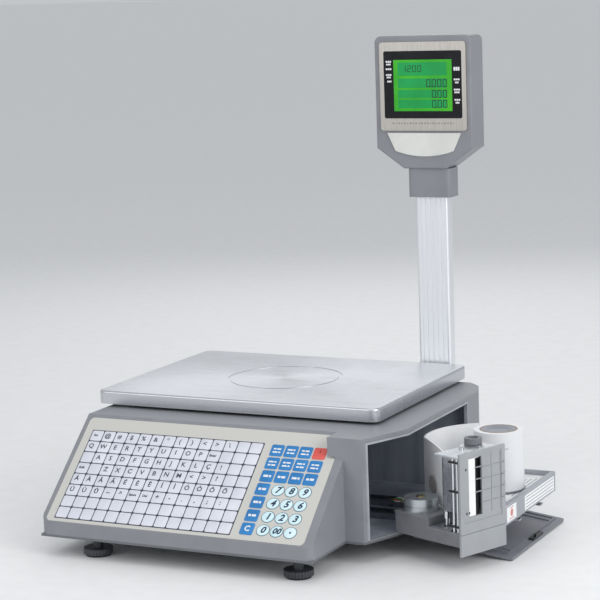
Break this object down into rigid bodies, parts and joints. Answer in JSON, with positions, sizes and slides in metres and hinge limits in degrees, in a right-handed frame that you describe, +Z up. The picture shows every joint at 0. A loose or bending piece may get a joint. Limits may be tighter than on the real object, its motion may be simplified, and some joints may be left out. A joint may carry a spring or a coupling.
{
  "type": "label printing scale",
  "caption": "Counter weighing scale with a steel platter, sloped keypad, pole display and a label printer on a pull-out drawer behind a folding door.",
  "frame": {"origin": "centre of the footprint on the table, with the drawer pulled out and the door folded down", "axes": "+Z up, +X towards the printer bay, -Y towards the operator"},
  "size_m": [0.5548, 0.4948, 0.597],
  "materials": {
    "base_pan": "painted",
    "bay_liner": "matt painted",
    "bezel_lower": "fine texture",
    "bezel_plate": "fine texture",
    "body_screws": "zinc plated",
    "cell_spacers": "machined",
    "circuit_boards": "solder mask",
    "display_back": "fine texture",
    "display_bezel": "anodised",
    "display_front": "fine texture",
    "display_lamp": "opal",
    "display_window": "clear black",
    "door_hinge_pin": "plain",
    "door_latch": "moulded",
    "door_panel": "fine texture",
    "drawer_base": "zinc plated",
    "foot_pad_front_left": "moulded",
    "foot_pad_front_right": "moulded",
    "foot_pad_rear_left": "moulded",
    "foot_pad_rear_right": "moulded",
    "foot_screw_front_left": "moulded",
    "foot_screw_front_right": "moulded",
    "foot_screw_rear_left": "moulded",
    "foot_screw_rear_right": "moulded",
    "gearbox_cover": "moulded",
    "gearbox_housing": "moulded",
    "guide_roller": "moulded",
    "head_carrier": "moulded",
    "head_hardware": "plain",
    "hinge_knuckles": "painted",
    "idler_gear_a": "acetal",
    "idler_gear_b": "acetal",
    "keypad_overlay": "printed film",
    "label_roll": "wound",
    "lcd_panel": "backlit",
    "level_bubble": "clear",
    "load_cell": "machined",
    "motor_leads": "insulated",
    "motor_pinion": "machined",
    "opening_frame": "fine texture",
    "paper_guide": "moulded",
    "platen_roller": "ground",
    "platter": "brushed",
    "platter_bumpers": "moulded",
    "platter_spider": "cast",
    "pole": "extruded, anodised",
    "pole_bracket": "cast, painted",
    "port_panel": "painted",
    "power_inlet": "moulded",
    "power_rocker": "moulded",
    "power_supply": "plain",
    "print_head": "extruded",
    "printer_frame": "zinc plated",
    "roll_hub": "moulded",
    "roll_tray": "moulded",
    "slide_middle": "zinc plated",
    "slide_outer": "zinc plated",
    "stepper_motor": "zinc plated",
    "top_plate": "zinc plated",
    "upper_housing": "fine texture"
  },
  "bodies": {
    "root": {"base_pan": "base_pan", "upper_housing": "upper_housing", "opening_frame": "opening_frame", "bay_liner": "bay_liner", "keypad_overlay": "keypad_overlay", "level_bubble": "level_bubble", "circuit_boards": "circuit_boards", "power_supply": "power_supply", "power_inlet": "power_inlet", "port_panel": "port_panel", "load_cell": "load_cell", "cell_spacers": "cell_spacers", "platter_spider": "platter_spider", "platter_bumpers": "platter_bumpers", "door_hinge_pin": "door_hinge_pin", "hinge_knuckles": "hinge_knuckles", "slide_outer": "slide_outer", "pole_bracket": "pole_bracket", "pole": "pole", "display_front": "display_front", "display_back": "display_back", "display_bezel": "display_bezel", "display_window": "display_window", "lcd_panel": "lcd_panel", "display_lamp": "display_lamp", "body_screws": "body_screws"},
    "platter": {"platter": "platter"},
    "rocker": {"power_rocker": "power_rocker"},
    "door": {"door_panel": "door_panel", "door_latch": "door_latch"},
    "middle_rails": {"slide_middle": "slide_middle"},
    "drawer": {"gearbox_housing": "gearbox_housing", "gearbox_cover": "gearbox_cover", "stepper_motor": "stepper_motor", "printer_frame": "printer_frame", "top_plate": "top_plate", "head_hardware": "head_hardware", "bezel_plate": "bezel_plate", "bezel_lower": "bezel_lower", "drawer_base": "drawer_base", "roll_tray": "roll_tray", "roll_hub": "roll_hub", "paper_guide": "paper_guide", "motor_leads": "motor_leads"},
    "platen": {"platen_roller": "platen_roller"},
    "idler_a": {"idler_gear_a": "idler_gear_a"},
    "idler_b": {"idler_gear_b": "idler_gear_b"},
    "pinion": {"motor_pinion": "motor_pinion"},
    "head": {"head_carrier": "head_carrier", "print_head": "print_head"},
    "guide": {"guide_roller": "guide_roller"},
    "roll": {"label_roll": "label_roll"},
    "pad_front_left": {"foot_pad_front_left": "foot_pad_front_left"},
    "screw_front_left": {"foot_screw_front_left": "foot_screw_front_left"},
    "pad_front_right": {"foot_pad_front_right": "foot_pad_front_right"},
    "screw_front_right": {"foot_screw_front_right": "foot_screw_front_right"},
    "pad_rear_left": {"foot_pad_rear_left": "foot_pad_rear_left"},
    "screw_rear_left": {"foot_screw_rear_left": "foot_screw_rear_left"},
    "pad_rear_right": {"foot_pad_rear_right": "foot_pad_rear_right"},
    "screw_rear_right": {"foot_screw_rear_right": "foot_screw_rear_right"}
  },
  "joints": [
    {"name": "platter_lift", "type": "slide", "parent": "root", "child": "platter", "axis": [0, 0, 1], "range_m": [0, 0.06]},
    {"name": "power_switch", "type": "hinge", "parent": "root", "child": "rocker", "pos_m": [-0.22342, 0.1845, 0.06], "axis": [0, 0, 1], "range_deg": [-8, 8]},
    {"name": "door_hinge", "type": "hinge", "parent": "root", "child": "door", "pos_m": [0.15458, 0.0065, 0.0215], "axis": [0, -1, 0], "range_deg": [0, 10]},
    {"name": "drawer_slide", "type": "slide", "parent": "root", "child": "drawer", "axis": [1, 0, 0], "range_m": [-0.115, 0]},
    {"name": "middle_rail_slide", "type": "slide", "parent": "root", "child": "middle_rails", "axis": [1, 0, 0], "range_m": [-0.0576, 0.0001]},
    {"name": "platen_spin", "type": "hinge", "parent": "drawer", "child": "platen", "pos_m": [0.23836, -0.12261, 0.08], "axis": [0, 0, 1], "continuous": true},
    {"name": "idler_b_spin", "type": "hinge", "parent": "drawer", "child": "idler_b", "pos_m": [0.21524, -0.11309, 0.035], "axis": [0, 0, 1], "continuous": true},
    {"name": "idler_a_spin", "type": "hinge", "parent": "drawer", "child": "idler_a", "pos_m": [0.1875, -0.10167, 0.035], "axis": [0, 0, 1], "continuous": true},
    {"name": "pinion_spin", "type": "hinge", "parent": "drawer", "child": "pinion", "pos_m": [0.16808, -0.09367, 0.035], "axis": [0, 0, 1], "continuous": true},
    {"name": "head_pivot", "type": "hinge", "parent": "drawer", "child": "head", "pos_m": [0.21236, -0.12272, 0.09], "axis": [0, 0, -1], "range_deg": [0, 4], "stiffness_Nm_per_rad": 0.5, "springref_deg": -5.73},
    {"name": "guide_spin", "type": "hinge", "parent": "drawer", "child": "guide", "pos_m": [0.22552, -0.06974, 0.09], "axis": [0, 0, 1], "continuous": true},
    {"name": "roll_spin", "type": "hinge", "parent": "drawer", "child": "roll", "pos_m": [0.22658, 0.0115, 0.09], "axis": [0, 0, 1], "continuous": true},
    {"name": "foot_lift_front_left", "type": "slide", "parent": "root", "child": "pad_front_left", "axis": [0, 0, 1], "range_m": [-0.0061, 0.0101]},
    {"name": "foot_turn_front_left", "type": "hinge", "parent": "pad_front_left", "child": "screw_front_left", "pos_m": [-0.19942, -0.2205, 0.01], "axis": [0, 0, 1], "range_deg": [-1234, 2057]},
    {"name": "foot_lift_front_right", "type": "slide", "parent": "root", "child": "pad_front_right", "axis": [0, 0, 1], "range_m": [-0.0061, 0.0101]},
    {"name": "foot_turn_front_right", "type": "hinge", "parent": "pad_front_right", "child": "screw_front_right", "pos_m": [0.06958, -0.2225, 0.01], "axis": [0, 0, 1], "range_deg": [-1234, 2057]},
    {"name": "foot_lift_rear_left", "type": "slide", "parent": "root", "child": "pad_rear_left", "axis": [0, 0, 1], "range_m": [-0.0061, 0.0101]},
    {"name": "foot_turn_rear_left", "type": "hinge", "parent": "pad_rear_left", "child": "screw_rear_left", "pos_m": [-0.19942, 0.1565, 0.01], "axis": [0, 0, 1], "range_deg": [-1234, 2057]},
    {"name": "foot_lift_rear_right", "type": "slide", "parent": "root", "child": "pad_rear_right", "axis": [0, 0, 1], "range_m": [-0.0061, 0.0101]},
    {"name": "foot_turn_rear_right", "type": "hinge", "parent": "pad_rear_right", "child": "screw_rear_right", "pos_m": [0.06958, 0.1565, 0.01], "axis": [0, 0, 1], "range_deg": [-1234, 2057]}
  ],
  "couplings": [
    {"joint": "idler_b_spin", "follows": "platen_spin", "ratio": -0.66667},
    {"joint": "idler_a_spin", "follows": "platen_spin", "ratio": 0.66667},
    {"joint": "pinion_spin", "follows": "platen_spin", "ratio": -1.6667},
    {"joint": "middle_rail_slide", "follows": "drawer_slide", "ratio": 0.5},
    {"joint": "foot_lift_front_left", "follows": "foot_turn_front_left", "m_per_rad": 0.00027852},
    {"joint": "foot_lift_front_right", "follows": "foot_turn_front_right", "m_per_rad": 0.00027852},
    {"joint": "foot_lift_rear_left", "follows": "foot_turn_rear_left", "m_per_rad": 0.00027852},
    {"joint": "foot_lift_rear_right", "follows": "foot_turn_rear_right", "m_per_rad": 0.00027852}
  ]
}
